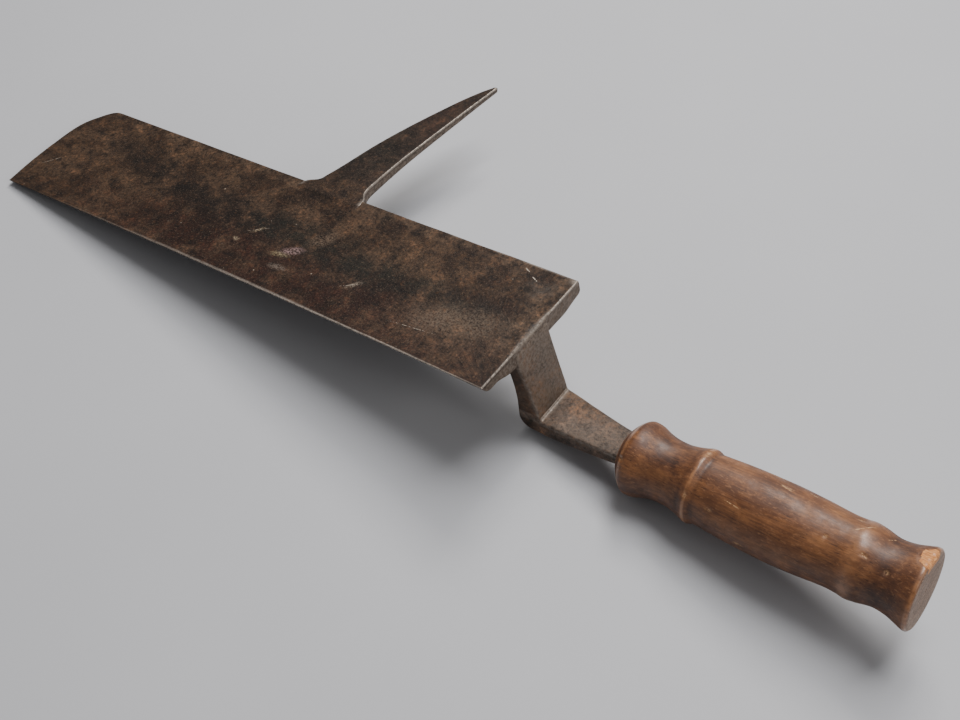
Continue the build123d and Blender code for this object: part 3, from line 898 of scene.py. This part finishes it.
def table_top(name):
    """A plain pale table with the faintest unevenness."""
    s = Shader(name)
    colour = s.ramp(s.noise(240.0, 3.0), [
        (0.3, (0.480, 0.480, 0.492)),
        (0.7, (0.515, 0.515, 0.527)),
    ])
    return s.finish(Base_Color=colour, Roughness=0.62, Normal=s.bump(s.noise(1.6, 3.0), 0.05, 0.25))


# ======================================================================
# the four pieces
# ======================================================================
DARK_SCALE = (0.009, 0.007, 0.006)
GREEN_BLACK = (0.013, 0.013, 0.010)
MAROON = (0.024, 0.010, 0.007)
TAN = (0.070, 0.041, 0.023)
PALE_TAN = (0.120, 0.080, 0.052)

blade = make_blade()
blade.data.materials.append(steel(
    "blade_patina", (0.056, 0.034, 0.021), (0.016, 0.009, 0.006),
    patches=[
        ((-272, 34, 0), (60, 40), 0.0, 0.55, TAN),
        ((-150, 14, 0), (90, 17), 0.05, 0.85, MAROON),
        ((-55, 10, 0), (70, 18), 0.0, 0.65, MAROON),
        ((-70, 50, 0), (52, 12), 0.0, 0.60, TAN),
        ((-205, 57, 0), (58, 10), 0.0, 0.45, TAN),
        ((-30, 22, 0), (26, 12), 0.2, 0.35, PALE_TAN),
        ((-262, 47, 0), (17, 6), -0.1, 0.90, DARK_SCALE),
        ((-225, 40, 0), (30, 8), -0.1, 0.90, DARK_SCALE),
        ((-180, 34, 0), (28, 10), -0.05, 0.85, DARK_SCALE),
        ((-140, 36, 0), (20, 8), 0.0, 0.85, GREEN_BLACK),
        ((-95, 32, 0), (24, 10), -0.1, 0.85, GREEN_BLACK),
        ((-55, 34, 0), (26, 7), 0.0, 0.70, GREEN_BLACK),
        ((-24, 36, 0), (9, 6), 0.0, 0.60, DARK_SCALE),
        ((-11, 56.5, 0), (5, 4), 0.0, 0.75, (0.030, 0.034, 0.034)),
        ((-4, 40, 0), (7, 34), 0.0, 0.35, PALE_TAN),
        ((-150, 66, 0), (160, 3.5), 0.0, 0.40, PALE_TAN),
    ],
    smudges=[
        ((-127, 26, 0), (4.5, 2.2), 0.5, 0.75, (0.420, 0.270, 0.255)),
        ((-131, 22, 0), (4.5, 1.3), 0.2, 0.7, (0.360, 0.300, 0.165)),
        ((-126, 15, 0), (4.5, 1.5), 0.1, 0.6, (0.270, 0.220, 0.175)),
        ((-118, 39, 0), (6, 4), 0.9, 0.6, (0.240, 0.165, 0.110)),
        ((-86, 22, 0), (3.5, 1.0), 0.9, 0.75, (0.340, 0.270, 0.200)),
        ((-152, 30, 0), (3.0, 0.9), 0.9, 0.75, (0.450, 0.350, 0.220)),
        ((-158, 21, 0), (1.6, 1.0), 0.0, 0.8, (0.460, 0.370, 0.240)),
        ((-28, 26, 0), (16, 8), 0.3, 0.5, (0.200, 0.150, 0.105)),
        ((-45, 22, 0), (10, 6), 0.3, 0.3, (0.190, 0.140, 0.100)),
    ],
    scratches=[
        ((-25, 64.6), (-21, 62.7), 0.32),
        ((-19.5, 61.4), (-14.5, 59.2), 0.32),
        ((-92, 18), (-82, 25), 0.16),
        ((-157, 27), (-147, 34), 0.14),
        ((-300, 17), (-293, 26), 0.14),
        ((-60, 12), (-34, 15), 0.10),
    ],
))

pick = make_pick()
pick.data.materials.append(steel(
    "pick_patina", (0.040, 0.025, 0.017), (0.018, 0.012, 0.009),
    patches=[
        ((-136, 95, 0), (14, 22), 0.3, 0.50, GREEN_BLACK),
        ((-126, 135, 0), (8, 22), 0.3, 0.45, MAROON),
        ((-139, 68, 0), (26, 9), 0.0, 0.45, TAN),
        ((-122, 160, 0), (6, 9), 0.3, 0.45, TAN),
    ],
    speck_share=0.3,
))

neck = make_neck()
neck.data.materials.append(steel(
    "neck_patina", (0.105, 0.074, 0.054), (0.058, 0.040, 0.030),
    patches=[
        ((16, 40, -43), (12, 5), -0.1, 0.70, (0.260, 0.115, 0.042)),
        ((26, 33, -43), (14, 8), 0.0, 0.35, (0.110, 0.085, 0.075)),
        ((2, 28, -22), (6, 5), 0.0, 0.35, (0.270, 0.125, 0.055)),
        ((1, 38, -32), (6, 8), 0.0, 0.35, (0.085, 0.070, 0.052)),
    ],
    speck_share=0.35,
))

handle = make_handle()
handle.data.materials.append(wood("handle_polish"))


# ======================================================================
# table, light and camera
# ======================================================================
def make_table():
    """A flat square at z = 0, half metres to each side of the origin."""
    mesh = bpy.data.meshes.new("table_top")
    half = 3.0
    corners = [(-half, -half, 0), (half, -half, 0), (half, half, 0), (-half, half, 0)]
    mesh.from_pydata(corners, [], [(0, 1, 2, 3)])
    table = bpy.data.objects.new("table_top", mesh)
    bpy.context.scene.collection.objects.link(table)
    own = mesh.attributes.new("own", "FLOAT_VECTOR", "POINT")
    own.data.foreach_set("vector", [c / MM for v in mesh.vertices for c in v.co])
    mesh.materials.append(table_top("table_finish"))


def soft_light(name, azimuth, elevation, distance, size, power, tint):
    """A square studio light aimed at the origin: degrees, metres and watts.

    Azimuth is counted from +X towards +Y.
    """
    data = bpy.data.lights.new(name, "AREA")
    data.size = size
    data.energy = power
    data.color = tint
    a, e = math.radians(azimuth), math.radians(elevation)
    away = Vector((math.cos(a) * math.cos(e), math.sin(a) * math.cos(e), math.sin(e)))
    lamp = bpy.data.objects.new(name, data)
    lamp.location = away * distance
    lamp.rotation_mode = "QUATERNION"
    lamp.rotation_quaternion = (-away).to_track_quat("-Z", "Y")
    bpy.context.scene.collection.objects.link(lamp)


make_table()
soft_light("key", azimuth=108, elevation=52, distance=1.5, size=0.45, power=12,
           tint=(1.0, 0.98, 0.96))
soft_light("second", azimuth=72, elevation=74, distance=1.6, size=0.80, power=21,
           tint=(0.98, 0.98, 1.0))
soft_light("butt_side", azimuth=-4, elevation=34, distance=2.0, size=1.00, power=8,
           tint=(1.0, 0.99, 0.97))

world = bpy.data.worlds.new("studio")
world.use_nodes = True
sky = world.node_tree.nodes["Background"].inputs
sky["Color"].default_value = (0.90, 0.91, 0.95, 1.0)
sky["Strength"].default_value = 0.20
bpy.context.scene.world = world

# the camera looks down across the tool from the cutting side, beyond the heel; its place and
# the point it looks at are in the blade's millimetres
EYE = Vector((235.7, -222.93, 342.68))
AIM = Vector((-26.31, 27.69, -23.06))
CAMERA_ROLL = math.radians(1.41)
camera_data = bpy.data.cameras.new("camera")
camera_data.lens = 46.0
camera_data.sensor_width = 36.0
camera = bpy.data.objects.new("camera", camera_data)
bpy.context.scene.collection.objects.link(camera)
eye = TOOL @ (EYE * MM)
gaze = ((TOOL @ (AIM * MM)) - eye).normalized()
camera.location = eye
camera.rotation_mode = "QUATERNION"
camera.rotation_quaternion = Quaternion(gaze, CAMERA_ROLL) @ gaze.to_track_quat("-Z", "Y")
bpy.context.scene.camera = camera
